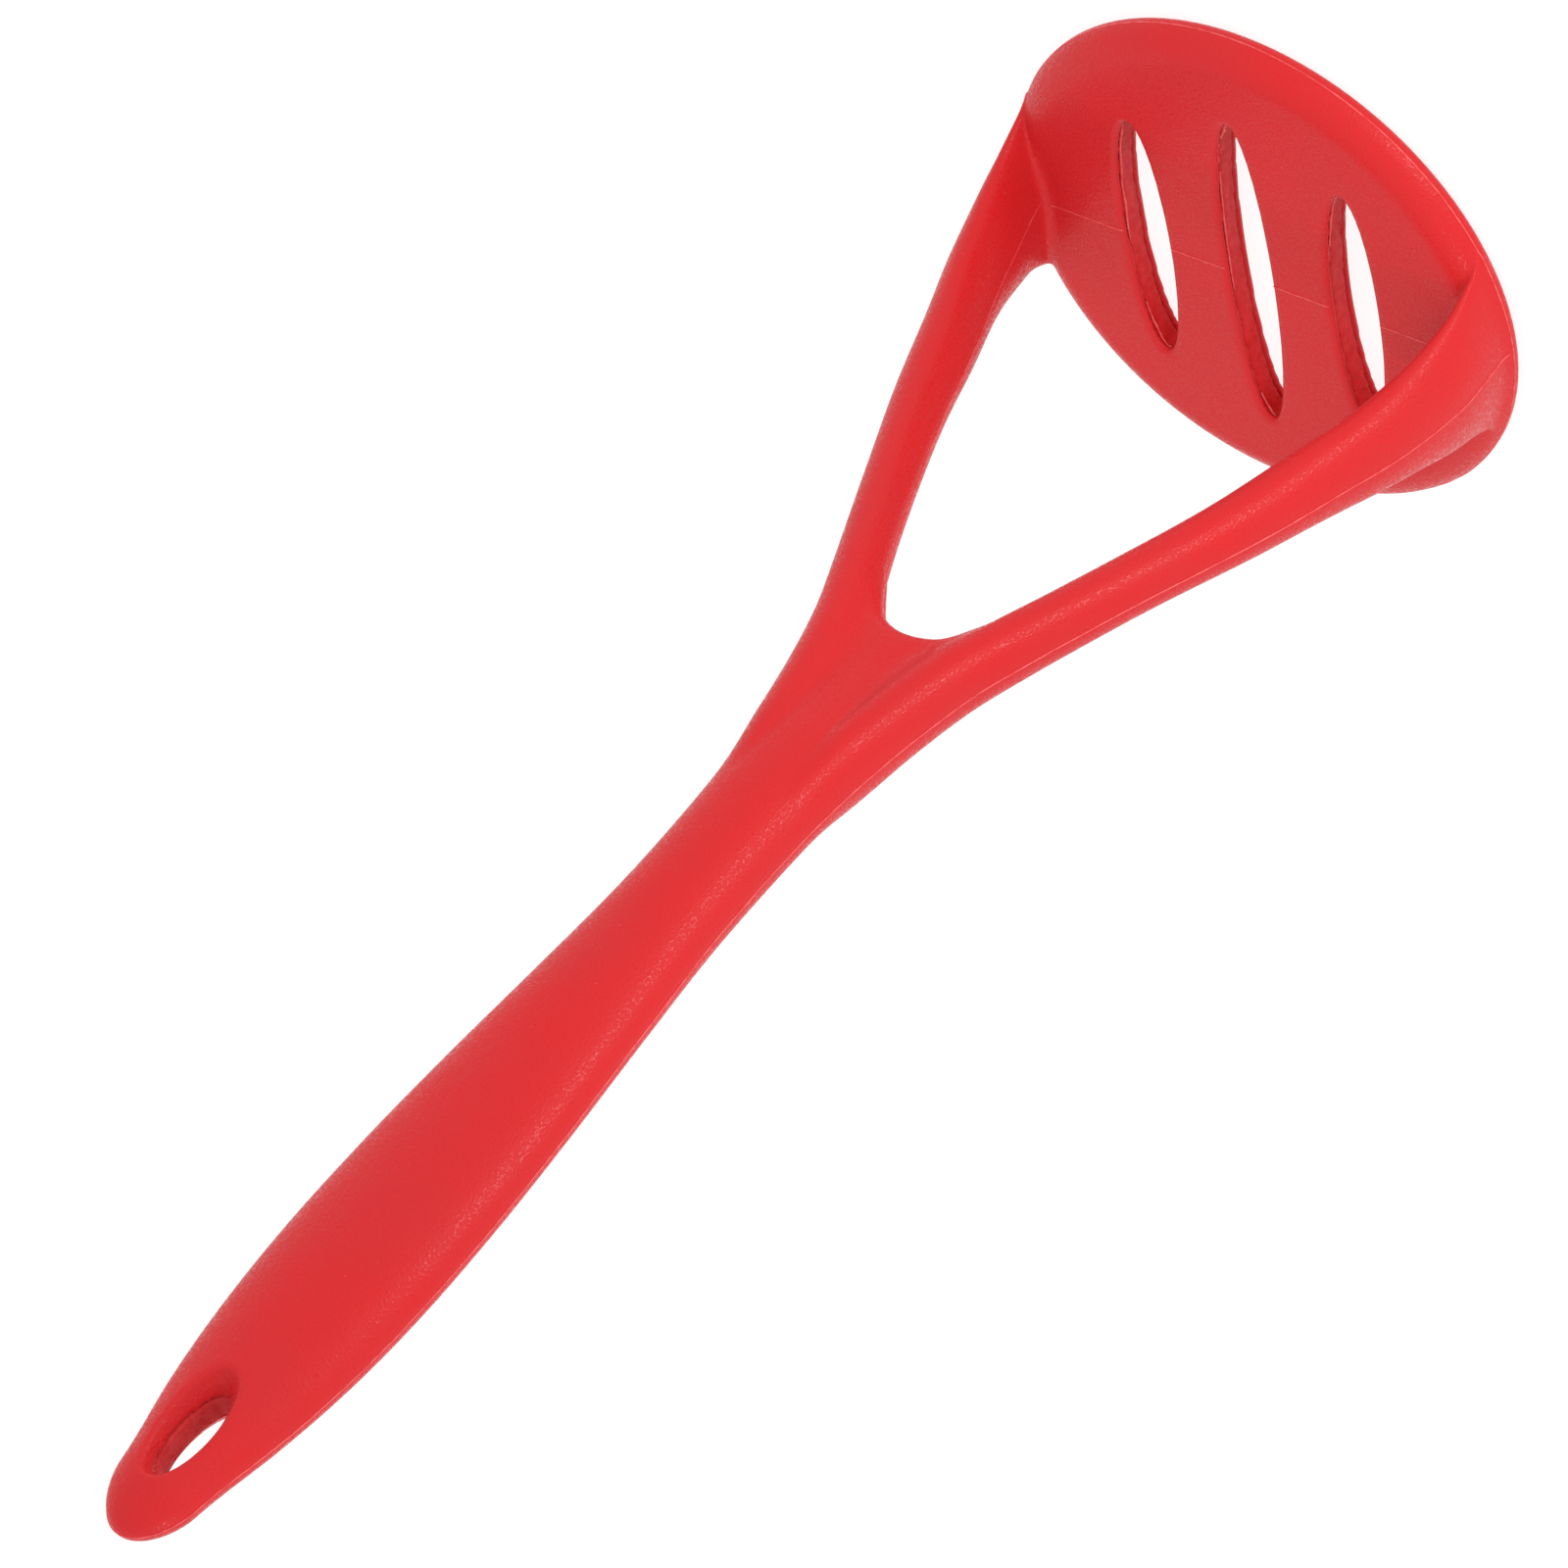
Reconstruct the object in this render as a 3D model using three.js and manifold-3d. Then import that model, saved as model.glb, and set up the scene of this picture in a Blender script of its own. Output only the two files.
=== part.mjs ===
// One-piece potato masher: a round slotted plate on a two-armed fork, with a tapered oval handle.
// A rigid nylon core is over-moulded with one silicone skin. The skin is open at the three slots and
// at the hanging hole, where the rough nylon shows as a band between two silicone lips.
// Millimetres, +Z up. The masher stands on its mashing face, the handle points up, the arms lie at +-X.
import * as THREE from 'three';
import { mergeVertices } from 'three/addons/utils/BufferGeometryUtils.js';
import Module from 'manifold-3d';

const wasm = await Module();
wasm.setup();

// Overall size
const HEIGHT = 280.5;
const PLATE_RADIUS = 47.5;
const PLATE_THICKNESS = 6;

// Rim of the plate: a wide convex round above, a tight one below
const RIM_ROUND_RADIAL = 5.4;
const RIM_ROUND_HEIGHT = 4.2;
const RIM_ROUND_BELOW = 1.8;
const RIM_ROUND_LEAST = 0.3;

// Two layers: silicone skin over the nylon core
const SKIN = 1.2;
const LAYER_GAP = 0.3;

// Three slots, long across the fork: the middle one is the longest
const SLOT_PITCH = 20.2;
const SLOT_HALF_WIDTH = 4.4;
const SLOT_HALF_LENGTHS = [25, 32, 25];

// Arm: height, inner face, outer face, half depth (y), all measured in the plane of the fork
const ARM_STATIONS = [
  [2, 40.8, 47, 17],
  [6, 40.6, 47, 14.4],
  [10, 39.9, 47.1, 12.6],
  [16, 38.3, 46.8, 11.3],
  [27, 35, 44.6, 8.8],
  [40, 30.2, 40.2, 7],
  [55, 25.2, 34.9, 5.8],
  [70, 19.3, 28.6, 5.3],
  [82, 14.3, 23.5, 5.4],
  [92, 9.8, 19.3, 5.7],
  [101, 6, 15.8, 6],
  [112, 3, 12.9, 6.3],
  [125, 1.2, 10.4, 6.4],
  [140, 1, 7.6, 4.6],
];
// Up to these heights the foot of each arm follows the round rim, and is wider on its outer side
const FOOT_ARC_END = 45;
const FOOT_SPREAD = 0.35;
const FOOT_SPREAD_END = 24;

// Handle: height, half width (x), half thickness (y); it starts as the thin web in the crotch
const HANDLE_STATIONS = [
  [88, 13.6, 3.5],
  [97, 13.2, 3.7],
  [106, 12.6, 4.2],
  [114, 11.9, 5.1],
  [125, 10.3, 6.6],
  [140, 9.2, 7],
  [158, 9.2, 6.8],
  [176, 10.5, 6.6],
  [196, 12.1, 6.6],
  [214, 13, 6.8],
  [232, 13, 6.9],
  [246, 12, 6.5],
  [258, 10.2, 5.8],
  [270, 7.5, 5],
  [280.5, 6, 4.3],
];
const TIP_ROUND = 8.5;

// Bow of the arms and handle: height, and how far their middle plane lies towards +Y there
const BOW_STATIONS = [
  [0, -1],
  [8, -0.9],
  [15, -0.2],
  [24, 0],
  [32, 0],
  [52, -0.7],
  [75, -1.7],
  [100, -1.8],
  [145, -0.7],
  [190, 0],
  [240, 0.9],
  [265, 1],
  [280.5, 1.3],
];

// Rounded crotch of the fork
const CROTCH_TOP = 97.9;
const CROTCH_HALF_WIDTH = 14.3;
const CROTCH_HALF_HEIGHT = 24;

// Oval hanging hole through the handle, funnelled from both faces to a straight nylon ring
const HOLE_HEIGHT = 263.8;
const HOLE_HALF_LENGTH = 7.2;
const HOLE_HALF_WIDTH = 2.6;
const HOLE_RING_HALF_DEPTH = 1.9;
const HOLE_FLARE = 2.2;
const HOLE_FLARE_DEPTH = 3.4;

// Colour and roughness of each layer
const SILICONE = { color: '#e0282d', roughness: 0.5, metalness: 0 };
const NYLON = { color: '#b3444a', roughness: 0.75, metalness: 0 };

// Fineness
const RIM_SEGMENTS = 44;
const RIM_ROUND_STEPS = 2;
const AROUND_ARM = 16;
const AROUND_HANDLE = 20;
const AROUND_SLOT = 14;
const AROUND_HOLE = 18;
const AROUND_CROTCH = 40;
const FOOT_TOP = 16;
const FOOT_STEPS = 4;
const ARM_STEPS = 13;
const WEB_TOP = 125;
const WEB_STEPS = 5;
const GRIP_STEPS = 13;
const TIP_PARTS = [0.25, 0.5, 0.75, 0.94];
const TIP_FLAT = 0.01;
const WELD = 1e-4;

// How far the cutting shapes reach: front to back through the web, and past each face of the plate
const CUT_DEPTH = 30;
const CUT_CLEARANCE = 2;

// A closed geometry as a solid that can be joined and cut.
function solid(geometry) {
  geometry.deleteAttribute('normal');
  geometry.deleteAttribute('uv');
  const welded = mergeVertices(geometry, WELD);
  return new wasm.Manifold(new wasm.Mesh({
    numProp: 3,
    vertProperties: new Float32Array(welded.attributes.position.array),
    triVerts: new Uint32Array(welded.index.array),
  }));
}

// A smooth function of height through stations of [height, value, value, ...].
function profile(stations) {
  const heights = stations.map((station) => station[0]);
  const values = stations.flatMap((station) => station.slice(1));
  const size = stations[0].length - 1;
  const curve = new THREE.CubicInterpolant(heights, values, size, new Float64Array(size));
  return (height) => Array.from(curve.evaluate(height));
}

// Evenly spaced values from first to last.
function steps(first, last, count) {
  return Array.from({ length: count + 1 }, (_, i) => THREE.MathUtils.lerp(first, last, i / count));
}

// A sphere whose rings are carried to the given levels, each shaped by place(level, cosine, sine).
// The first and the last level are closed by flat caps.
function loft(around, levels, place) {
  const rings = levels.length + 1;
  const geometry = new THREE.SphereGeometry(1, around, rings);
  const position = geometry.attributes.position;
  for (let i = 0; i < position.count; i += 1) {
    const ring = Math.floor(i / (around + 1));
    const turn = (i % (around + 1)) % around;
    const angle = (-turn / around) * Math.PI * 2;
    const level = levels[THREE.MathUtils.clamp(ring - 1, 0, levels.length - 1)];
    const reach = ring === 0 || ring === rings ? 0 : 1;
    const point = place(level, reach * Math.cos(angle), reach * Math.sin(angle));
    position.setXYZ(i, point.x, point.y, point.z);
  }
  return geometry;
}

// The plate, smaller all round by inset.
function plate(inset) {
  const radius = PLATE_RADIUS - inset;
  const top = PLATE_THICKNESS - inset;
  const wide = RIM_ROUND_RADIAL - inset;
  const high = RIM_ROUND_HEIGHT - inset;
  const below = Math.max(RIM_ROUND_BELOW - inset, RIM_ROUND_LEAST);
  const outline = new THREE.Path();
  outline.moveTo(0, inset);
  outline.lineTo(radius - below, inset);
  outline.absarc(radius - below, inset + below, below, -Math.PI / 2, 0, false);
  outline.lineTo(radius, top - high);
  outline.absellipse(radius - wide, top - high, wide, high, 0, Math.PI / 2, false);
  outline.lineTo(0, top);
  const points = outline.getPoints(RIM_ROUND_STEPS);
  const geometry = new THREE.LatheGeometry(points, RIM_SEGMENTS);
  geometry.rotateX(Math.PI / 2);
  return solid(geometry);
}

// One arm of the fork, on the side given by +1 or -1.
function arm(side, inset) {
  const at = profile(ARM_STATIONS);
  const bow = profile(BOW_STATIONS);
  const foot = Math.max(ARM_STATIONS[0][0], inset + LAYER_GAP);
  const end = ARM_STATIONS[ARM_STATIONS.length - 1][0];
  const stride = (end - FOOT_TOP) / (ARM_STEPS + 1);
  const levels = [...steps(foot, FOOT_TOP, FOOT_STEPS), ...steps(FOOT_TOP + stride, end, ARM_STEPS)];
  const geometry = loft(AROUND_ARM, levels, (height, cosine, sine) => {
    const [inner, outer, depth] = at(height);
    const halfThickness = (outer - inner) / 2 - inset;
    const outward = THREE.MathUtils.smoothstep(cosine, -1, 1);
    const arcShare = 1 - THREE.MathUtils.smoothstep(height, 0, FOOT_ARC_END);
    const spreadShare = 1 - THREE.MathUtils.smoothstep(height, 0, FOOT_SPREAD_END);
    const halfDepth = depth * (1 + FOOT_SPREAD * outward * spreadShare) - inset;
    const y = halfDepth * sine;
    const arc = (outward * arcShare * y * y) / (2 * PLATE_RADIUS);
    const x = (outer + inner) / 2 + halfThickness * cosine - arc;
    return new THREE.Vector3(side * x, side * y + bow(height)[0], height);
  });
  return solid(geometry);
}

// The handle with the web in the crotch of the fork below it, and a rounded tip.
function handle(inset) {
  const at = profile(HANDLE_STATIONS);
  const bow = profile(BOW_STATIONS);
  const webStart = HANDLE_STATIONS[0][0];
  const tip = HEIGHT - inset;
  const tipStart = tip - TIP_ROUND;
  const tipLevels = TIP_PARTS.map((part) => tipStart + TIP_ROUND * Math.sin((part * Math.PI) / 2));
  const stride = (tipStart - WEB_TOP) / (GRIP_STEPS + 1);
  const webLevels = steps(webStart, WEB_TOP, WEB_STEPS);
  const gripLevels = steps(WEB_TOP + stride, tipStart, GRIP_STEPS);
  const levels = [...webLevels, ...gripLevels, ...tipLevels, tip - TIP_FLAT];
  const geometry = loft(AROUND_HANDLE, levels, (height, cosine, sine) => {
    const [halfWidth, halfThickness] = at(height);
    const climb = Math.max(height - tipStart, 0) / TIP_ROUND;
    const close = Math.sqrt(1 - climb * climb);
    const x = (halfWidth - inset) * close * cosine;
    const y = (halfThickness - inset) * close * sine;
    return new THREE.Vector3(x, y + bow(height)[0], height);
  });
  return solid(geometry);
}

// The round bottom of the V between the arms, cut right through the web.
function crotch(inset) {
  const geometry = new THREE.CylinderGeometry(1, 1, CUT_DEPTH, AROUND_CROTCH);
  geometry.scale(CROTCH_HALF_WIDTH + inset, 1, CROTCH_HALF_HEIGHT + inset);
  geometry.translate(0, 0, CROTCH_TOP - CROTCH_HALF_HEIGHT);
  return solid(geometry);
}

// One slot right through the plate, long in y.
function slot(x, halfLength) {
  const oval = new THREE.Shape();
  oval.absellipse(0, 0, SLOT_HALF_WIDTH, halfLength, 0, Math.PI * 2);
  const geometry = new THREE.ExtrudeGeometry(oval, {
    depth: PLATE_THICKNESS + 2 * CUT_CLEARANCE,
    bevelEnabled: false,
    curveSegments: AROUND_SLOT,
  });
  geometry.translate(x, 0, -CUT_CLEARANCE);
  return solid(geometry);
}

// The hanging hole; grow widens only the funnels, so the nylon ring keeps its size.
function hangingHole(grow) {
  const reach = CUT_DEPTH / 2;
  const ring = HOLE_RING_HALF_DEPTH + Math.min(SKIN + LAYER_GAP - grow, LAYER_GAP);
  const flares = [0, 1].map((part) => ring + HOLE_FLARE_DEPTH * part);
  const mirrored = [...flares].reverse().map((depth) => -depth);
  const levels = [-reach, ...mirrored, ...flares, reach];
  const middle = profile(BOW_STATIONS)(HOLE_HEIGHT)[0];
  const geometry = loft(AROUND_HOLE, levels, (depth, cosine, sine) => {
    const rise = THREE.MathUtils.clamp((Math.abs(depth) - ring) / HOLE_FLARE_DEPTH, 0, 1);
    const wider = Math.abs(depth) > ring ? HOLE_FLARE * rise + grow : 0;
    const x = (HOLE_HALF_WIDTH + wider) * cosine;
    const z = HOLE_HEIGHT + (HOLE_HALF_LENGTH + wider) * sine;
    return new THREE.Vector3(x, middle - depth, z);
  });
  return solid(geometry);
}

// Plate, arms, web and handle in one, smaller all round by inset.
function body(inset) {
  const fork = plate(inset).add(arm(1, inset)).add(arm(-1, inset));
  return fork.add(handle(inset)).subtract(crotch(inset));
}

// The three slots, which go through both layers.
function slots() {
  const cuts = SLOT_HALF_LENGTHS.map((halfLength, i) => slot((i - 1) * SLOT_PITCH, halfLength));
  return cuts[0].add(cuts[1]).add(cuts[2]);
}

// A solid as a named mesh.
function mesh(name, shape, finish) {
  const data = shape.getMesh();
  const geometry = new THREE.BufferGeometry();
  geometry.setAttribute('position', new THREE.BufferAttribute(data.vertProperties, 3));
  geometry.setIndex(new THREE.BufferAttribute(data.triVerts, 1));
  geometry.computeVertexNormals();
  const result = new THREE.Mesh(geometry, new THREE.MeshStandardMaterial(finish));
  result.name = name;
  return result;
}

const openings = slots().add(hangingHole(0));
const coreSpace = body(SKIN).subtract(hangingHole(SKIN));
const core = body(SKIN + LAYER_GAP).subtract(hangingHole(SKIN + LAYER_GAP)).subtract(openings);
const skin = body(0).subtract(coreSpace).subtract(openings);

const masher = new THREE.Group();
masher.add(mesh('silicone_skin', skin, SILICONE));
masher.add(mesh('nylon_core', core, NYLON));

export default masher;
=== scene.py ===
import math

import bpy
import numpy as np
from mathutils import Matrix, Vector

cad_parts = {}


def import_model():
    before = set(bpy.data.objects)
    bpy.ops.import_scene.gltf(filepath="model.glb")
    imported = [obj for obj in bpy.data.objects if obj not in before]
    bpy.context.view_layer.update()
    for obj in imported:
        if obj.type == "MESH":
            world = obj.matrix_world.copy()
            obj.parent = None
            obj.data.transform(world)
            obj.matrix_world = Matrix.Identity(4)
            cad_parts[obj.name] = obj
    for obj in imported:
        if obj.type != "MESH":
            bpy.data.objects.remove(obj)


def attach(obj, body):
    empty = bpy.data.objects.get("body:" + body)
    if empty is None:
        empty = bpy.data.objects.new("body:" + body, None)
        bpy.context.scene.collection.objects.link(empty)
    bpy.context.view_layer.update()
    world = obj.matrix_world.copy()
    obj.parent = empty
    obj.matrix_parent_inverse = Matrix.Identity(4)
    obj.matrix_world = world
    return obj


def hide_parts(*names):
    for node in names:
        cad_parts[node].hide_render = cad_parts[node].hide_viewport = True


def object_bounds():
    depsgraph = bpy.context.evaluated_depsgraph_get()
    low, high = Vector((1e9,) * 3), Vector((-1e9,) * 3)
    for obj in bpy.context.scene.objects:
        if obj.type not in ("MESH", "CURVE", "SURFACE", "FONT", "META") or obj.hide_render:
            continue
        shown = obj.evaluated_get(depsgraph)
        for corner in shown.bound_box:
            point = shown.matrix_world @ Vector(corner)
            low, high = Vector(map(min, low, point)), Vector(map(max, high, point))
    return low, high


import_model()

CAD_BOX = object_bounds()
MM = 0.001

# ---------------------------------------------------------------- driving sizes, in metres

HEIGHT = CAD_BOX[1].z
PLATE_RADIUS = CAD_BOX[1].x

PLATE_THICKNESS = 6 * MM
RIM_ROUND_WIDE = 5.4 * MM
RIM_ROUND_ABOVE = 4.2 * MM
RIM_ROUND_BELOW = 1.8 * MM
RIM_POWER = 1.75

SKIN = 1.2 * MM

SLOT_PITCH = 20.2 * MM
SLOT_HALF_WIDTH = 4.4 * MM
SLOT_HALF_LENGTHS = [25 * MM, 32 * MM, 25 * MM]
SLOT_LIP = 1.1 * MM
SLOT_LIP_BELOW = 0.4 * MM
SLOT_POCKET = 2.4 * MM
CORE_SET_BACK = 0.05 * MM
CORE_PROUD = 0.1 * MM
CORE_EDGE = 0.3 * MM
CORE_TEAR = 0.12 * MM

# Each arm: height, inner face, outer face, half depth front to back.
ARM_STATIONS = np.array([
    [2, 40.8, 47.0, 17],
    [6, 40.6, 47.0, 14.4],
    [10, 39.9, 47.1, 12.6],
    [16, 38.3, 46.8, 11.3],
    [27, 35.0, 44.6, 8.8],
    [40, 30.2, 40.2, 7.0],
    [55, 25.2, 34.9, 5.8],
    [70, 19.3, 28.6, 5.3],
    [82, 14.3, 23.5, 5.4],
    [92, 9.8, 19.3, 5.7],
    [101, 6.0, 15.8, 6],
    [112, 3, 12.9, 6.3],
    [125, 1.2, 10.4, 6.4],
    [140, 1, 7.6, 4.6],
]) * MM
# The fillet under each arm, which shrinks to this share of itself across the rim.
FOOT_FILLET = 2.4 * MM
FOOT_FILLET_LEAST = 0.35
FOOT_FILLET_FROM = 40 * MM
FOOT_FILLET_TO = 45 * MM
# Up to these heights each foot follows the round rim, and is wider on its outer side.
FOOT_ARC_END = 45 * MM
FOOT_SPREAD = 0.35
FOOT_SPREAD_END = 24 * MM

# The handle and the web below it: height, half width, half thickness.
HANDLE_STATIONS = np.array([
    [88, 13.6, 3.5],
    [97, 13.2, 3.7],
    [106, 12.6, 4.2],
    [114, 11.9, 5.1],
    [125, 10.3, 6.6],
    [140, 9.2, 7],
    [158, 9.2, 6.8],
    [176, 10.5, 6.6],
    [196, 12.1, 6.6],
    [214, 13, 6.8],
    [232, 13, 6.9],
    [246, 12, 6.5],
    [258, 10.2, 5.8],
    [270, 7.5, 5],
    [280.5, 6, 4.3],
]) * MM
# How far the middle plane of the arms and handle bows back: height, offset.
BOW_STATIONS = np.array([
    [0, -1],
    [8, -0.9],
    [15, -0.2],
    [24, 0],
    [32, 0],
    [52, -0.7],
    [75, -1.7],
    [100, -1.8],
    [145, -0.7],
    [190, 0],
    [240, 0.9],
    [265, 1],
    [280.5, 1.3],
]) * MM
# The arms lean, so their level sections overstate the distance to their faces.
ARM_LEAN = 0.93
TIP_ROUND = 8.5 * MM

# The inside corner between arms and handle: wide along the web, and narrow above and below it.
WEB_CREASE = 3 * MM
NECK_CREASE = 0.6 * MM
WEB_CREASE_STARTS = (86 * MM, 94 * MM)
WEB_CREASE_ENDS = (116 * MM, 102 * MM)

CROTCH_TOP = 97.9 * MM
CROTCH_HALF_WIDTH = 14.3 * MM
CROTCH_HALF_HEIGHT = 24 * MM
CROTCH_ROUND = 2.6 * MM

HOLE_HEIGHT = 263.8 * MM
HOLE_HALF_LENGTH = 7.2 * MM
HOLE_HALF_WIDTH = 2.6 * MM
HOLE_RING_HALF_DEPTH = 1.9 * MM
HOLE_FLARE = 2.2 * MM
HOLE_FLARE_DEPTH = 3.4 * MM
HOLE_FLARE_POWER = 1.2
HOLE_EDGE_ROUND = 0.4 * MM

# The mould's witness lines: their size, and where they start and end.
SEAM_HALF_WIDTH = 0.16 * MM
SEAM_HEIGHT = 0.14 * MM
RIM_SEAM_HEIGHT = 2.3 * MM
OUTER_SEAM_START = 3 * MM
INNER_SEAM_START = PLATE_THICKNESS + 1.2 * MM
PLATE_SEAM_END = SLOT_PITCH * 1.95

# Flash left in the slots: slot, from and to in degrees round its edge, widest, seed.
FLAP_HALF_THICKNESS = 0.16 * MM
FLAPS = [
    (2, -70, 6, 0.75 * MM, 5),
    (2, 40, 95, 0.6 * MM, 6),
    (1, -88, -60, 0.8 * MM, 7),
    (1, -40, 10, 0.35 * MM, 8),
    (1, 60, 92, 0.6 * MM, 9),
    (0, -85, -30, 0.4 * MM, 10),
]


# ---------------------------------------------------------------- distance fields, negative inside

def stations(table, height):
    """Smooth values between a table's rows at these heights, one array for each column."""
    steps = np.diff(table, axis=0)
    slopes = steps[:, 1:] / steps[:, :1]
    knots = np.vstack([slopes[:1], (slopes[1:] + slopes[:-1]) / 2, slopes[-1:]])
    row = np.clip(np.searchsorted(table[:, 0], height) - 1, 0, len(table) - 2)
    span = steps[row, 0]
    t = np.clip((height - table[row, 0]) / span, 0, 1)
    made = []
    for column in range(1, table.shape[1]):
        start, end = table[row, column], table[row + 1, column]
        leave = knots[row, column - 1] * span
        arrive = knots[row + 1, column - 1] * span
        rise = end - start
        made.append(start + t * (leave + t * (3 * rise - 2 * leave - arrive
                                              + t * (leave + arrive - 2 * rise))))
    return made


def smoothstep(value, low, high):
    t = np.clip((value - low) / (high - low), 0, 1)
    return t * t * (3 - 2 * t)


def join(a, b, fillet):
    """Union of two fields with a rounded inside corner."""
    mix = np.clip(0.5 + 0.5 * (b - a) / fillet, 0, 1)
    return b + (a - b) * mix - fillet * mix * (1 - mix)


def keep(a, b, edge):
    """Overlap of two fields with a rounded outside edge."""
    return -join(-a, -b, edge)


def waves(count, longest, shortest, seed):
    """Fixed random waves that add up to a smooth, uneven pattern."""
    draw = np.random.default_rng(seed)
    heading = draw.normal(size=(count, 3))
    heading /= np.linalg.norm(heading, axis=1)[:, None]
    length = longest * (shortest / longest) ** draw.random(count)
    return heading * 2 * math.pi / length[:, None], draw.uniform(0, 2 * math.pi, count)


TEARS = waves(16, 5 * MM, 1.2 * MM, 4)
TEAR_RATES = (1, 0.6, 1.5)


def tearing(x, y, z):
    """An uneven value of about -1 to 1 that changes faster across the wall than along it."""
    headings, phases = TEARS
    x_rate, y_rate, z_rate = TEAR_RATES
    total = sum(np.sin(a * x_rate * x + b * y_rate * y + c * z_rate * z + phase)
                for (a, b, c), phase in zip(headings, phases))
    return total * math.sqrt(2 / len(phases)) / 2


def oval(*pairs, power=2):
    """Nearly true distance to an ellipse or ellipsoid, from (offset, half size) pairs.
    A power above 2 squares it off, and one below 2 sharpens it."""
    shares = [np.abs(offset) / half for offset, half in pairs]
    reach = sum(share**power for share in shares) ** (1 / power)
    reach = np.maximum(reach, 1e-6)
    slope = np.sqrt(sum(((share / reach) ** (power - 1) / half) ** 2
                        for share, (offset, half) in zip(shares, pairs)))
    return (reach - 1) / np.maximum(slope, 1e-6)


def plate(x, y, z):
    r = np.hypot(x, y)
    over = oval((np.maximum(r - PLATE_RADIUS + RIM_ROUND_WIDE, 1e-9), RIM_ROUND_WIDE),
                (np.maximum(z - RIM_ROUND_BELOW, 1e-9), RIM_ROUND_ABOVE), power=RIM_POWER)
    under = np.hypot(np.maximum(r - PLATE_RADIUS + RIM_ROUND_BELOW, 0),
                     np.maximum(RIM_ROUND_BELOW - z, 0)) - RIM_ROUND_BELOW
    inner = r < PLATE_RADIUS - RIM_ROUND_WIDE
    upper = z > RIM_ROUND_BELOW
    above = np.where(inner, z - PLATE_THICKNESS, over)
    below = np.where(r < PLATE_RADIUS - RIM_ROUND_BELOW, -z, under)
    return np.where(upper, np.maximum(above, -z), np.maximum(below, r - PLATE_RADIUS))


def arm(x, y, z):
    """The two arms, mirrored across x = 0."""
    inner, outer, depth = stations(ARM_STATIONS, z)
    half = (outer - inner) / 2
    across = np.abs(x) - (inner + outer) / 2
    outward = smoothstep(across, -half, half)
    follow = outward * (1 - smoothstep(z, 0, FOOT_ARC_END))
    across = across + follow * y**2 / (2 * PLATE_RADIUS)
    depth = depth * (1 + FOOT_SPREAD * outward * (1 - smoothstep(z, 0, FOOT_SPREAD_END)))
    wall = oval((across, half), (y, depth))
    top = z - ARM_STATIONS[-1, 0]
    bottom = ARM_STATIONS[0, 0] - z
    return np.maximum(wall * ARM_LEAN, np.maximum(top, bottom))


def handle(x, y, z):
    half_width, half_depth = stations(HANDLE_STATIONS, z)
    climb = np.maximum(z - HEIGHT + TIP_ROUND, 0)
    grip = oval((x, half_width), (y, half_depth), (climb, TIP_ROUND))
    return np.maximum(grip, HANDLE_STATIONS[0, 0] - z)


def crotch(x, z):
    """The rounded head of the opening between the arms."""
    above = np.maximum(z - CROTCH_TOP + CROTCH_HALF_HEIGHT, 0)
    return oval((x, CROTCH_HALF_WIDTH), (above, CROTCH_HALF_HEIGHT))


def bow(z):
    return stations(BOW_STATIONS, z)[0]


def body(x, y, z):
    """The outside of the whole utensil before its openings."""
    inward = smoothstep(np.hypot(x, y), FOOT_FILLET_TO, FOOT_FILLET_FROM)
    fillet = FOOT_FILLET * (FOOT_FILLET_LEAST + (1 - FOOT_FILLET_LEAST) * inward)
    bowed = y - bow(z)
    web = keep(handle(x, bowed, z), -crotch(x, z), CROTCH_ROUND)
    between = smoothstep(z, *WEB_CREASE_STARTS) * smoothstep(z, *WEB_CREASE_ENDS)
    crease = NECK_CREASE + (WEB_CREASE - NECK_CREASE) * between
    upper = join(arm(x, bowed, z), web, crease)
    return np.maximum(join(plate(x, y, z), upper, fillet), -z)


def slots(x, y):
    """The three long slots: negative in a slot."""
    found = None
    for number, half_length in enumerate(SLOT_HALF_LENGTHS):
        one = oval((x - (number - 1) * SLOT_PITCH, SLOT_HALF_WIDTH), (y, half_length))
        found = one if found is None else np.minimum(found, one)
    return found


def hanging_hole(x, y, z, extra=0):
    """The hole through the handle's end, with a funnel at each face."""
    rise = np.maximum(np.abs(y - bow(z)) - HOLE_RING_HALF_DEPTH, 0) / HOLE_FLARE_DEPTH
    grown = HOLE_FLARE * rise**HOLE_FLARE_POWER + extra
    return oval((x, HOLE_HALF_WIDTH + grown), (z - HOLE_HEIGHT, HOLE_HALF_LENGTH + grown))


def at_hole(found, z):
    """A field kept only near the hanging hole."""
    return np.where(z > HOLE_HEIGHT - 3 * HOLE_HALF_LENGTH, found, 1)


def at_plate(found, z):
    return np.where(z < 2 * PLATE_THICKNESS, found, 1)


def skin(x, y, z):
    """The silicone, with a pocket at each slot and at the hole where the core shows."""
    whole = body(x, y, z)
    slot = at_plate(slots(x, y), z)
    lip = np.where(z > PLATE_THICKNESS / 2, SLOT_LIP, SLOT_LIP_BELOW)
    made = keep(whole, -slot, lip)
    made = keep(made, -at_hole(hanging_hole(x, y, z), z), HOLE_EDGE_ROUND)
    slot_pocket = np.maximum(whole + SKIN, slot - SLOT_POCKET)
    ring_pocket = np.maximum(np.abs(y - bow(z)) - HOLE_RING_HALF_DEPTH,
                             at_hole(hanging_hole(x, bow(z), z, SLOT_POCKET), z))
    return np.maximum(made, np.maximum(-slot_pocket, -ring_pocket))


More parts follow.
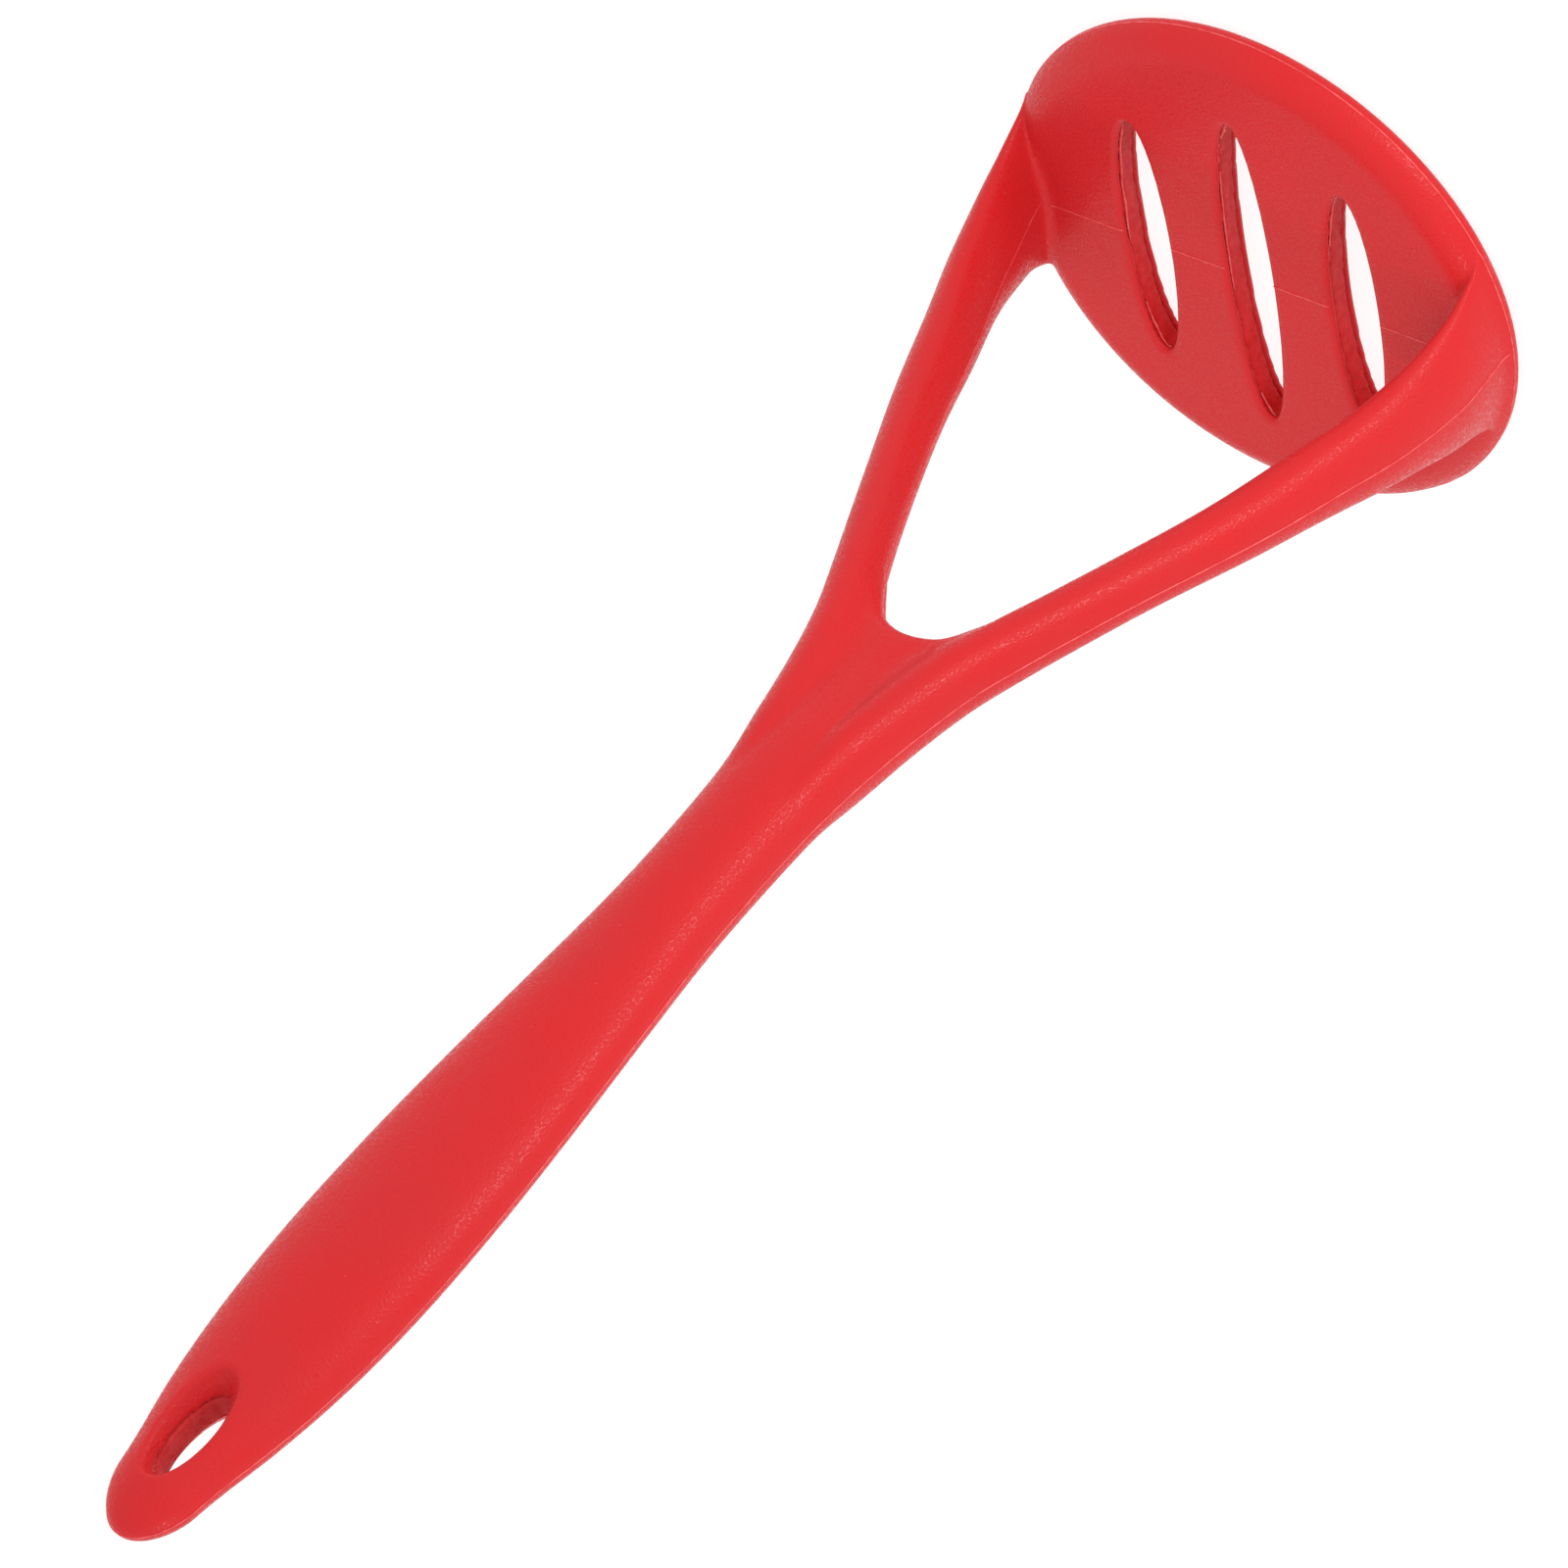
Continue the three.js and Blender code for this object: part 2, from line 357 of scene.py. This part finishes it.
def core(x, y, z):
    """The nylon, a skin's depth inside the silicone except where the openings bare it."""
    inner = body(x, y, z) + SKIN
    rough = CORE_TEAR * tearing(x, y, z)
    slot = at_plate(slots(x, y) - CORE_SET_BACK + rough, z)
    beside = np.abs(y - bow(z)) > HOLE_RING_HALF_DEPTH
    hole = np.where(beside, hanging_hole(x, y, z, SKIN), hanging_hole(x, y, z, -CORE_PROUD) + rough)
    return keep(keep(inner, -slot, CORE_EDGE), -at_hole(hole, z), CORE_EDGE)


# ---------------------------------------------------------------- meshes from fields

def net(field, boxes, cell):
    """Quads on the zero surface of a field. boxes are the (low, high) regions that hold it."""
    low = np.min([b[0] for b in boxes], axis=0) - 2 * cell
    high = np.max([b[1] for b in boxes], axis=0) + 2 * cell
    counts = np.ceil((high - low) / cell).astype(int) + 1
    axes = [low[i] + cell * np.arange(counts[i]) for i in range(3)]
    values = np.full(counts, cell)
    for start, end in boxes:
        part = [np.flatnonzero((axes[i] > start[i] - 2 * cell) & (axes[i] < end[i] + 2 * cell))
                for i in range(3)]
        grid = np.ix_(*part)
        x, y, z = (axes[i][part[i]] for i in range(3))
        values[grid] = field(x[:, None, None], y[None, :, None], z[None, None, :])
    inside = values < 0
    corners = [(i, j, k) for i in (0, 1) for j in (0, 1) for k in (0, 1)]
    shifted = [inside[i:counts[0] - 1 + i, j:counts[1] - 1 + j, k:counts[2] - 1 + k]
               for i, j, k in corners]
    crossed = np.logical_or.reduce(shifted) & ~np.logical_and.reduce(shifted)
    where = np.argwhere(crossed)
    ids = np.full(crossed.shape, -1)
    ids[crossed] = np.arange(len(where))
    total, hits = np.zeros((len(where), 3)), np.zeros(len(where))
    for a, first in enumerate(corners):
        for second in corners[a + 1:]:
            if sum(abs(p - q) for p, q in zip(first, second)) != 1:
                continue
            v0 = values[tuple((where + first).T)]
            v1 = values[tuple((where + second).T)]
            cut = (v0 < 0) != (v1 < 0)
            t = np.where(cut, v0 / np.where(cut, v0 - v1, 1), 0)
            point = where + np.array(first) + t[:, None] * (np.array(second) - first)
            total[cut] += point[cut]
            hits[cut] += 1
    points = low + cell * total / hits[:, None]
    quads = []
    for axis in range(3):
        other, third = (axis + 1) % 3, (axis + 2) % 3
        front = [slice(None)] * 3
        back = [slice(None)] * 3
        front[axis], back[axis] = slice(1, None), slice(None, -1)
        for leaving in (True, False):
            change = inside[tuple(back)] & ~inside[tuple(front)]
            if not leaving:
                change = ~inside[tuple(back)] & inside[tuple(front)]
            edge = np.argwhere(change)
            ring = []
            for a, b in ((1, 1), (0, 1), (0, 0), (1, 0)):
                step = np.zeros(3, int)
                step[other], step[third] = a, b
                ring.append(ids[tuple((edge - step).T)])
            quads.append(np.stack(ring if leaving else ring[::-1], axis=1))
    return points, np.vstack(quads)


SLOPE_REACH = 0.02 * MM
LEAST_SLOPE = 0.05
SETTLE_STEP = 0.3 * MM
SEAM_STEP = 1 * MM


def slope_of(field, points):
    """A field's value and gradient at points."""
    def at(shift):
        return field(*(points + shift).T)
    steps = SLOPE_REACH * np.eye(3)
    gradient = np.stack([(at(s) - at(-s)) / (2 * SLOPE_REACH) for s in steps], axis=1)
    return at(np.zeros(3)), gradient


def settle(field, points, quads, rounds):
    """Evens the mesh out along the surface, and puts each point on it."""
    pairs = np.vstack([quads[:, [i, (i + 1) % 4]] for i in range(4)])
    for _ in range(rounds):
        total = np.zeros_like(points)
        count = np.zeros(len(points))
        for a, b in ((0, 1), (1, 0)):
            for axis in range(3):
                total[:, axis] += np.bincount(pairs[:, a], points[pairs[:, b], axis], len(points))
            count += np.bincount(pairs[:, a], minlength=len(points))
        mean = total / count[:, None]
        gradient = slope_of(field, points)[1]
        normal = gradient / np.maximum(np.linalg.norm(gradient, axis=1), 1e-6)[:, None]
        move = (mean - points) * 0.5
        points = points + move - (move * normal).sum(1)[:, None] * normal
        for _ in range(2):
            value, gradient = slope_of(field, points)
            size = np.maximum((gradient**2).sum(1), LEAST_SLOPE)
            points = points - np.clip(value / size, -SETTLE_STEP, SETTLE_STEP)[:, None] * gradient
    return points


def uneven(count, knots, seed, low=0, high=1):
    """A run of values from low to high that rises and falls between its knots."""
    heights = np.random.default_rng(seed).random(knots)
    share = np.interp(np.linspace(0, knots - 1, count), np.arange(knots), heights)
    return low + (high - low) * share


def thread(points, rises, half_width, height, closed=False):
    """A fine raised thread along points, pointed towards rises and sunk a little into the surface."""
    ahead = np.roll(points, -1, axis=0) - np.roll(points, 1, axis=0)
    if not closed:
        ahead[0], ahead[-1] = points[1] - points[0], points[-1] - points[-2]
    ahead /= np.linalg.norm(ahead, axis=1)[:, None]
    side = np.cross(rises, ahead) * half_width
    lift = rises * np.broadcast_to(height, len(points))[:, None]
    sunk = rises * half_width
    ring = [points - side - sunk, points - side * 0.5 + lift * 0.8, points + lift,
            points + side * 0.5 + lift * 0.8, points + side - sunk]
    corners = np.stack(ring, axis=1).reshape(-1, 3)
    width, rows = len(ring), len(points)
    faces = []
    for row in range(rows if closed else rows - 1):
        here, after = row * width, (row + 1) % rows * width
        for i in range(width):
            j = (i + 1) % width
            faces.append([here + i, here + j, after + j, after + i])
    if not closed:
        faces += [list(range(width))[::-1], list(range((rows - 1) * width, rows * width))]
    return corners, faces


def on_surface(points, field, fixed=()):
    """Points moved to a field's surface, with the axes in fixed held, and the way out there."""
    for _ in range(6):
        value, gradient = slope_of(field, points)
        free = gradient.copy()
        free[:, list(fixed)] = 0
        size = np.maximum((free**2).sum(1), LEAST_SLOPE)
        points = points - np.clip(value / size, -SEAM_STEP, SEAM_STEP)[:, None] * free
    gradient = slope_of(field, points)[1]
    return points, gradient / np.linalg.norm(gradient, axis=1)[:, None]


def piece(name, points, faces, materials, material_of_face, replaced):
    mesh = bpy.data.meshes.new(name)
    mesh.from_pydata(points.tolist(), [], faces)
    mesh.polygons.foreach_set("use_smooth", [True] * len(mesh.polygons))
    for each in materials:
        mesh.materials.append(each)
    mesh.polygons.foreach_set("material_index", material_of_face)
    mesh.validate()
    made = bpy.data.objects.new(name, mesh)
    bpy.context.scene.collection.objects.link(made)
    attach(made, "root")
    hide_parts(replaced)
    return made


# ---------------------------------------------------------------- materials

def material(name):
    made = bpy.data.materials.new(name)
    made.use_nodes = True
    nodes = made.node_tree.nodes
    return made, made.node_tree, nodes["Principled BSDF"]


def noise(tree, place, size, detail=2, roughness=0.5):
    """Soft noise whose features are about this size, in metres."""
    made = tree.nodes.new("ShaderNodeTexNoise")
    made.inputs["Scale"].default_value = 1 / size
    made.inputs["Detail"].default_value = detail
    made.inputs["Roughness"].default_value = roughness
    tree.links.new(place, made.inputs["Vector"])
    return made.outputs["Fac"]


def spread(tree, value, low, high, start=0.0, end=1.0):
    """value moved from the range start to end into the range low to high, and held there."""
    made = tree.nodes.new("ShaderNodeMapRange")
    made.inputs["From Min"].default_value = start
    made.inputs["From Max"].default_value = end
    made.inputs["To Min"].default_value = low
    made.inputs["To Max"].default_value = high
    tree.links.new(value, made.inputs["Value"])
    return made.outputs["Result"]


def blend_colours(tree, share, first, second):
    """From the first colour to the second, as share goes from 0 to 1."""
    made = tree.nodes.new("ShaderNodeMix")
    made.data_type = "RGBA"
    tree.links.new(share, made.inputs["Factor"])
    for name, colour in (("A", first), ("B", second)):
        socket = next(s for s in made.inputs if s.name == name and s.type == "RGBA")
        if isinstance(colour, tuple):
            socket.default_value = (*colour, 1)
        else:
            tree.links.new(colour, socket)
    return next(s for s in made.outputs if s.type == "RGBA")


def bump(tree, height, depth, below=None):
    """A bumped normal: height from 0 to 1 over this depth in metres."""
    made = tree.nodes.new("ShaderNodeBump")
    made.inputs["Strength"].default_value = 1
    made.inputs["Distance"].default_value = depth
    tree.links.new(height, made.inputs["Height"])
    if below is not None:
        tree.links.new(below, made.inputs["Normal"])
    return made.outputs["Normal"]


def silicone():
    made, tree, shader = material("silicone_red")
    place = tree.nodes.new("ShaderNodeTexCoord").outputs["Object"]
    cloud = spread(tree, noise(tree, place, 14 * MM), 0, 1, 0.3, 0.7)
    red = blend_colours(tree, cloud, (0.62, 0.014, 0.017), (0.59, 0.017, 0.020))
    speck = tree.nodes.new("ShaderNodeTexVoronoi")
    speck.inputs["Scale"].default_value = 1 / (3.6 * MM)
    tree.links.new(place, speck.inputs["Vector"])
    dot = spread(tree, speck.outputs["Distance"], 0.6, 0, 0.012, 0.035)
    red = blend_colours(tree, dot, red, (0.8, 0.16, 0.15))
    tree.links.new(red, shader.inputs["Base Color"])
    rough = spread(tree, noise(tree, place, 0.5 * MM, 1), 0.5, 0.17, 0.5, 0.64)
    tree.links.new(rough, shader.inputs["Roughness"])
    grain = bump(tree, noise(tree, place, 0.5 * MM, 1), 0.085 * MM)
    tree.links.new(bump(tree, noise(tree, place, 5 * MM), 0.12 * MM, grain), shader.inputs["Normal"])
    shader.inputs["IOR"].default_value = 1.36
    shader.inputs["Specular IOR Level"].default_value = 0.34
    shader.inputs["Sheen Weight"].default_value = 0.05
    shader.inputs["Sheen Roughness"].default_value = 0.4
    shader.inputs["Sheen Tint"].default_value = (1, 0.6, 0.65, 1)
    return made


def flash_painted_highlight():
    """Silicone for the fine threads and the flaps, smoother than the skin, with a paler red painted
    on: a painted highlight where the raised threads catch the light, and painted light showing
    through the thin flaps.
    """
    made, tree, shader = material("silicone_flash_painted_highlight")
    place = tree.nodes.new("ShaderNodeTexCoord").outputs["Object"]
    # Painted highlight: uneven patches of a paler red than the skin.
    highlight_share = spread(tree, noise(tree, place, 1.5 * MM), 0, 1, 0.35, 0.65)
    red = blend_colours(tree, highlight_share, (0.70, 0.03, 0.035), (0.80, 0.10, 0.10))
    tree.links.new(red, shader.inputs["Base Color"])
    tree.links.new(bump(tree, noise(tree, place, 0.4 * MM), 0.05 * MM), shader.inputs["Normal"])
    shader.inputs["Roughness"].default_value = 0.4
    return made


def nylon():
    """Rough red nylon, greyer towards the front ends of the slots and smeared redder behind."""
    made, tree, shader = material("nylon_red")
    place = tree.nodes.new("ShaderNodeTexCoord").outputs["Object"]
    patch = spread(tree, noise(tree, place, 1.6 * MM, 3), 0, 1, 0.35, 0.65)
    bare = blend_colours(tree, patch, (0.56, 0.025, 0.03), (0.64, 0.05, 0.055))
    smeared = blend_colours(tree, patch, (0.60, 0.008, 0.010), (0.66, 0.016, 0.018))
    split = tree.nodes.new("ShaderNodeSeparateXYZ")
    tree.links.new(place, split.inputs["Vector"])
    behind = spread(tree, split.outputs["Y"], 0, 0.9, -8 * MM, 18 * MM)
    tree.links.new(blend_colours(tree, behind, bare, smeared), shader.inputs["Base Color"])
    rough = spread(tree, noise(tree, place, 0.7 * MM), 0.6, 0.85, 0.3, 0.7)
    tree.links.new(rough, shader.inputs["Roughness"])
    torn = bump(tree, noise(tree, place, 1.3 * MM, 4, 0.6), 0.22 * MM)
    tree.links.new(torn, shader.inputs["Normal"])
    shader.inputs["Specular IOR Level"].default_value = 0.2
    return made


# ---------------------------------------------------------------- the mould's witness lines

def seam_outside():
    """Up the outer face of one arm, round the handle's end and down the other."""
    rise = np.linspace(OUTER_SEAM_START, HEIGHT - TIP_ROUND, 420)
    arms_end = ARM_STATIONS[-3, 0]
    reach = np.where(rise < arms_end, stations(ARM_STATIONS, rise)[1],
                     stations(HANDLE_STATIONS, rise)[0])
    turn = np.linspace(0, math.pi / 2, 24)[1:]
    tip = stations(HANDLE_STATIONS, HEIGHT - TIP_ROUND + TIP_ROUND * np.sin(turn))[0]
    z = np.concatenate([rise, HEIGHT - TIP_ROUND + TIP_ROUND * np.sin(turn)])
    x = np.concatenate([reach, tip * np.cos(turn)])
    x, z = np.concatenate([x, -x[-2::-1]]), np.concatenate([z, z[-2::-1]])
    return np.stack([x, bow(z), z], axis=1)


def seam_inside():
    """Up the inner face of one arm, over the crotch and down the other."""
    web_start = HANDLE_STATIONS[0, 0]
    middle = CROTCH_TOP - CROTCH_HALF_HEIGHT
    rise = np.linspace(INNER_SEAM_START, web_start, 180)
    turn = np.linspace(math.asin((web_start - middle) / CROTCH_HALF_HEIGHT), math.pi / 2, 30)[1:]
    x = np.concatenate([stations(ARM_STATIONS, rise)[0], CROTCH_HALF_WIDTH * np.cos(turn)])
    z = np.concatenate([rise, middle + CROTCH_HALF_HEIGHT * np.sin(turn)])
    x, z = np.concatenate([x, -x[-2::-1]]), np.concatenate([z, z[-2::-1]])
    return np.stack([x, bow(z), z], axis=1)


def seams_on_plate():
    """Across the top of the plate, in the stretches between the slots."""
    edges = [-PLATE_SEAM_END]
    for number in range(3):
        middle = (number - 1) * SLOT_PITCH
        reach = SLOT_HALF_WIDTH + SLOT_LIP / 3
        edges += [middle - reach, middle + reach]
    edges.append(PLATE_SEAM_END)
    runs = []
    for start, end in zip(edges[::2], edges[1::2]):
        x = np.linspace(start, end, 36)
        runs.append(np.stack([x, 0 * x, 0 * x + PLATE_THICKNESS], axis=1))
    return runs


def witness_lines():
    """All the fine raised lines that the mould left, as one list of threads."""
    threads = []
    outside, out = on_surface(seam_outside(), skin, fixed=[1])
    count = len(outside)
    height = SEAM_HEIGHT * uneven(count, count // 6, 11, 0.45, 1.35)
    threads.append(thread(outside, out, SEAM_HALF_WIDTH, height))
    inside, out = on_surface(seam_inside(), skin, fixed=[1])
    count = len(inside)
    height = SEAM_HEIGHT * uneven(count, count // 5, 12, 0.3, 1)
    threads.append(thread(inside, out, SEAM_HALF_WIDTH, height))
    for number, run in enumerate(seams_on_plate()):
        run, out = on_surface(run, skin, fixed=[0, 1])
        height = SEAM_HEIGHT * uneven(len(run), 9, 20 + number, 0.5, 1.2)
        threads.append(thread(run, out, SEAM_HALF_WIDTH, height))
    turn = np.linspace(0, 2 * math.pi, 720, endpoint=False)
    rim = np.stack([PLATE_RADIUS * np.cos(turn), PLATE_RADIUS * np.sin(turn),
                    0 * turn + RIM_SEAM_HEIGHT], axis=1)
    rim, out = on_surface(rim, skin, fixed=[2])
    height = SEAM_HEIGHT * uneven(len(rim), 121, 31, 0.6, 1.1)
    threads.append(thread(rim, out, SEAM_HALF_WIDTH, height, closed=True))
    return threads


def flash_flaps():
    """Thin torn tongues of silicone left on the upper lips of the slots."""
    threads = []
    for number, start, end, widest, seed in FLAPS:
        turn = np.radians(np.linspace(start, end, 60))
        half_length = SLOT_HALF_LENGTHS[number]
        middle = (number - 1) * SLOT_PITCH
        edge = np.stack([middle + SLOT_HALF_WIDTH * np.cos(turn), half_length * np.sin(turn),
                         0 * turn + PLATE_THICKNESS - SKIN], axis=1)
        inward = -np.stack([np.cos(turn) / SLOT_HALF_WIDTH, np.sin(turn) / half_length,
                            0 * turn], axis=1)
        inward /= np.linalg.norm(inward, axis=1)[:, None]
        fade = np.sin(np.linspace(0, math.pi, len(turn))) ** 0.5
        width = widest * fade * uneven(len(turn), 13, seed, 0.35, 1)
        threads.append(thread(edge, inward, FLAP_HALF_THICKNESS, width))
    return threads


# ---------------------------------------------------------------- the pieces

CELL = 0.55 * MM
CORE_CELL = 0.6 * MM
ARMS_DEPTH, ARMS_TOP = 21 * MM, 130 * MM
GRIP_WIDTH, GRIP_DEPTH, GRIP_BOTTOM = 16 * MM, 9 * MM, 100 * MM


def region(half_width, half_depth, bottom, top):
    return np.array([-half_width, -half_depth, bottom]), np.array([half_width, half_depth, top])


# The boxes that hold the plate, the arms and the grip.
REGIONS = [
    region(PLATE_RADIUS, PLATE_RADIUS, 0, 2 * PLATE_THICKNESS),
    region(PLATE_RADIUS, ARMS_DEPTH, 0, ARMS_TOP),
    region(GRIP_WIDTH, GRIP_DEPTH, GRIP_BOTTOM, HEIGHT),
]

points, quads = net(skin, REGIONS, CELL)
points = settle(skin, points, quads, 3)
faces = quads.tolist()
for corners, more in witness_lines() + flash_flaps():
    faces += [[len(points) + corner for corner in face] for face in more]
    points = np.vstack([points, corners])
# The threads and flaps take the second material, the one with the painted highlight.
kinds = [0] * len(quads) + [1] * (len(faces) - len(quads))
piece("silicone_skin_visual", points, faces, [silicone(), flash_painted_highlight()], kinds,
      "silicone_skin")

points, quads = net(core, REGIONS, CORE_CELL)
points = settle(core, points, quads, 2)
piece("nylon_core_visual", points, quads.tolist(), [nylon()], [0] * len(quads),
      "nylon_core")


# ---------------------------------------------------------------- stage, light and camera

CAMERA_AZIMUTH, CAMERA_ELEVATION, CAMERA_ROLL = -35.36, 26.35, -137.8
CAMERA_AIM = Vector((0.0012, 0.0005, 0.1283))
CAMERA_DISTANCE = 0.744
CAMERA_LENS = 114.26
FLOOR_HALF_SIDE = 4


def view_axes(azimuth, elevation, roll):
    """Right, up and back of a camera, in the frame, from its angles in degrees."""
    a, e, turn = (math.radians(v) for v in (azimuth, elevation, roll))
    back = Vector((math.sin(a) * math.cos(e), -math.cos(a) * math.cos(e), math.sin(e)))
    level = Vector((math.cos(a), math.sin(a), 0))
    rise = back.cross(level)
    right = level * math.cos(turn) + rise * math.sin(turn)
    return right, back.cross(right), back


def camera():
    right, up, back = view_axes(CAMERA_AZIMUTH, CAMERA_ELEVATION, CAMERA_ROLL)
    made = bpy.data.objects.new("camera", bpy.data.cameras.new("camera"))
    bpy.context.scene.collection.objects.link(made)
    made.data.sensor_width = 36
    made.data.lens = CAMERA_LENS
    made.data.clip_end = 20
    place = CAMERA_AIM + back * CAMERA_DISTANCE
    made.matrix_world = Matrix.Translation(place) @ Matrix((right, up, back)).transposed().to_4x4()
    bpy.context.scene.camera = made


def floor():
    """A white floor that gives off most of its light itself, so that it stays white all over."""
    mesh = bpy.data.meshes.new("floor")
    side = FLOOR_HALF_SIDE
    mesh.from_pydata([(-side, -side, 0), (side, -side, 0), (side, side, 0), (-side, side, 0)],
                     [], [(0, 1, 2, 3)])
    made = bpy.data.objects.new("floor", mesh)
    bpy.context.scene.collection.objects.link(made)
    paint, _, shader = material("floor_white")
    shader.inputs["Base Color"].default_value = (0.2, 0.2, 0.2, 1)
    shader.inputs["Roughness"].default_value = 0.9
    shader.inputs["Specular IOR Level"].default_value = 0
    shader.inputs["Emission Color"].default_value = (1, 1, 1, 1)
    shader.inputs["Emission Strength"].default_value = 0.85
    mesh.materials.append(paint)


def softbox(name, aim, azimuth, elevation, distance, width, length, power):
    """A soft rectangular lamp, turned towards aim from these angles in degrees."""
    right, up, back = view_axes(azimuth, elevation, 0)
    lamp = bpy.data.lights.new(name, "AREA")
    lamp.shape = "RECTANGLE"
    lamp.size, lamp.size_y = width, length
    lamp.energy = power
    made = bpy.data.objects.new(name, lamp)
    bpy.context.scene.collection.objects.link(made)
    turned = Matrix((right, up, back)).transposed().to_4x4()
    made.matrix_world = Matrix.Translation(aim + back * distance) @ turned


def world():
    made = bpy.data.worlds.new("studio")
    bpy.context.scene.world = made
    made.use_nodes = True
    sky = made.node_tree.nodes["Background"]
    sky.inputs["Color"].default_value = (1, 1, 1, 1)
    sky.inputs["Strength"].default_value = 1.0


floor()
world()
softbox("front", aim=Vector((0, 0, 0.07)), azimuth=-47, elevation=0, distance=0.3,
        width=0.09, length=0.14, power=0.27)
softbox("side", aim=Vector((0, 0, 0)), azimuth=-108, elevation=51, distance=0.7,
        width=0.07, length=0.1, power=0.3)
camera()
bpy.context.scene.view_settings.view_transform = "Standard"
